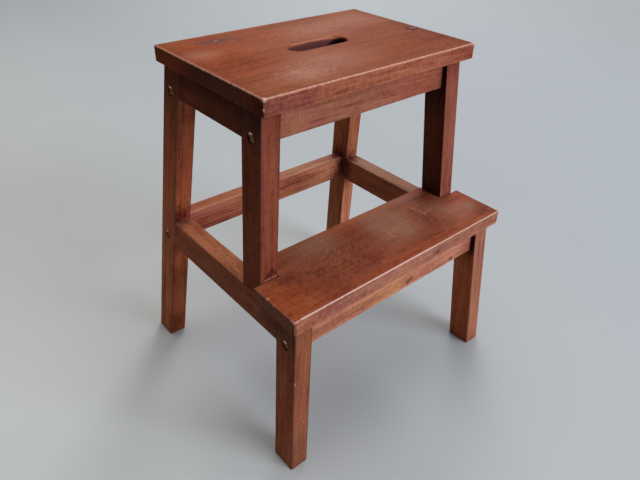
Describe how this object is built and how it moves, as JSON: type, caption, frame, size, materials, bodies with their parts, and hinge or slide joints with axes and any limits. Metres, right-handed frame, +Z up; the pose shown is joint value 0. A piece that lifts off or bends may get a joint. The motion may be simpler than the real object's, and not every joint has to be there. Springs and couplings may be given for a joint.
{
  "type": "step stool",
  "caption": "Fixed wooden step stool: leaning side frames tied by bolted cross rails, a notched lower step and a top board with a hand slot.",
  "frame": {"origin": "on the floor in the middle of the footprint", "axes": "+X to the right seen from the front, +Y from the lower step towards the back, +Z up"},
  "size_m": [0.4178, 0.3829, 0.5],
  "materials": {
    "stained_wood": "red-brown stain under satin lacquer, rubbed pale along the arrises",
    "bronze": "dark bronzed steel, satin",
    "zinc": "dull zinc plating",
    "dowel_wood": "bare beech"
  },
  "bodies": {
    "root": {"front_leg_left": "stained_wood", "front_leg_right": "stained_wood", "lower_rear_rail": "stained_wood", "lower_rear_rail_bolts": "bronze", "lower_rear_rail_dowels": "dowel_wood", "lower_rear_rail_nuts": "zinc", "lower_side_rail_dowels_left": "dowel_wood", "lower_side_rail_dowels_right": "dowel_wood", "lower_side_rail_left": "stained_wood", "lower_side_rail_right": "stained_wood", "post_foot_dowels_left": "dowel_wood", "post_foot_dowels_right": "dowel_wood", "rear_leg_left": "stained_wood", "rear_leg_right": "stained_wood", "step_board": "stained_wood", "step_board_screws": "zinc", "step_front_rail": "stained_wood", "step_front_rail_bolts": "bronze", "step_front_rail_dowels": "dowel_wood", "step_front_rail_nuts": "zinc", "top_board": "stained_wood", "top_board_screws": "zinc", "top_front_rail": "stained_wood", "top_front_rail_bolts": "bronze", "top_front_rail_dowels": "dowel_wood", "top_front_rail_nuts": "zinc", "top_rear_rail": "stained_wood", "top_rear_rail_bolts": "bronze", "top_rear_rail_dowels": "dowel_wood", "top_rear_rail_nuts": "zinc", "upper_post_left": "stained_wood", "upper_post_right": "stained_wood", "upper_side_rail_dowels_left": "dowel_wood", "upper_side_rail_dowels_right": "dowel_wood", "upper_side_rail_left": "stained_wood", "upper_side_rail_right": "stained_wood"}
  },
  "joints": []
}
